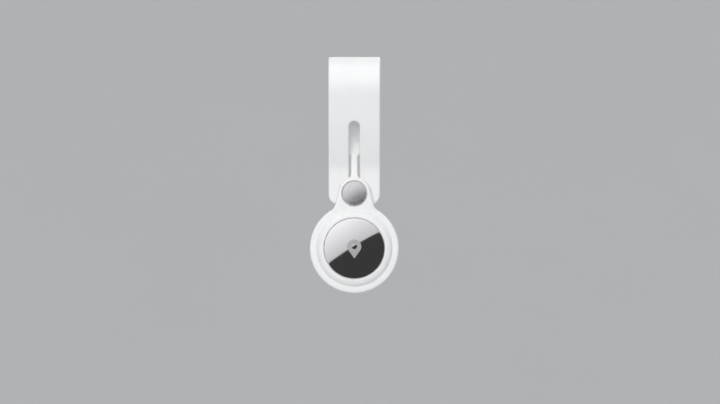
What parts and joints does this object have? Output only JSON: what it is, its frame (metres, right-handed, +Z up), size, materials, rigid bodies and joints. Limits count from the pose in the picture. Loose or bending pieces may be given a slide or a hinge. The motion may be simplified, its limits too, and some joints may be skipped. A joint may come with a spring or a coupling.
{
  "type": "bluetooth tracker tag",
  "caption": "Coin-sized round tracker tag with a steel battery cover, held in a flexible loop that threads through its own slot and closes with a snap.",
  "frame": {"origin": "centre of the bar that the strap's fold hangs over, in the middle of the strap's width", "axes": "+Z up while hanging, +X across the strap, -Y is the side that the steel battery cover faces"},
  "size_m": [0.0376, 0.0244, 0.0998],
  "materials": {
    "polyurethane": "white, soft and matte",
    "snap_steel": "satin",
    "spring_steel": "plain wire",
    "white_shell": "white and glossy",
    "polished_steel": "polished stainless steel",
    "black_foam": "closed-cell foam",
    "seal_rubber": "soft",
    "cell_steel": "nickel-plated",
    "cell_plastic": "plain",
    "cathode_powder": "pressed powder",
    "separator_film": "non-woven film",
    "lithium": "soft metal",
    "tray_plastic": "moulded",
    "adhesive": "tacky film",
    "gold_plate": "gold-plated",
    "board": "solder mask",
    "chip_black": "moulded package",
    "can_metal": "shield can",
    "ceramic": "ceramic",
    "magnet": "nickel-plated",
    "copper": "enamelled copper",
    "carrier_plastic": "moulded"
  },
  "bodies": {
    "strap": {"loop_strap": "polyurethane", "snap_stud": "snap_steel", "snap_rivet": "snap_steel"},
    "holder": {"holder": "polyurethane", "snap_cap": "snap_steel", "snap_socket": "snap_steel", "snap_spring": "spring_steel"},
    "tag": {"housing_shell": "white_shell", "battery_tray": "tray_plastic", "tray_adhesive": "adhesive", "positive_contacts": "gold_plate", "negative_contact": "gold_plate", "main_board": "board", "bluetooth_chip": "chip_black", "uwb_module": "can_metal", "flash_memory": "chip_black", "accelerometer": "chip_black", "audio_amplifier": "chip_black", "power_converter": "chip_black", "radio_crystal": "can_metal", "clock_crystal": "can_metal", "bulk_capacitors": "ceramic", "chip_capacitors": "ceramic", "speaker_yoke": "magnet", "speaker_magnet": "magnet", "speaker_pole": "magnet", "voice_coil": "copper", "antenna_carrier": "carrier_plastic", "bluetooth_antenna": "gold_plate", "uwb_antenna": "gold_plate", "nfc_antenna": "gold_plate", "antenna_springs": "gold_plate", "cover_gasket": "seal_rubber", "battery_can": "cell_steel", "battery_cap": "cell_steel", "battery_gasket": "cell_plastic", "battery_cathode": "cathode_powder", "battery_separator": "separator_film", "battery_anode": "lithium"},
    "cover": {"battery_cover": "polished_steel", "cover_pad": "black_foam"}
  },
  "joints": [
    {"name": "holder_swing", "type": "hinge", "parent": "strap", "child": "holder", "pos_m": [0, 0.00015, -0.0342], "axis": [-1, 0, 0], "range_deg": [0, 90], "deforming": ["snap_spring"]},
    {"name": "tag_spin", "type": "hinge", "parent": "holder", "child": "tag", "pos_m": [0, 0, -0.0688], "axis": [0, -1, 0], "continuous": true},
    {"name": "cover_twist", "type": "hinge", "parent": "tag", "child": "cover", "pos_m": [0, 0, -0.0688], "axis": [0, -1, 0], "range_deg": [0, 25]}
  ]
}
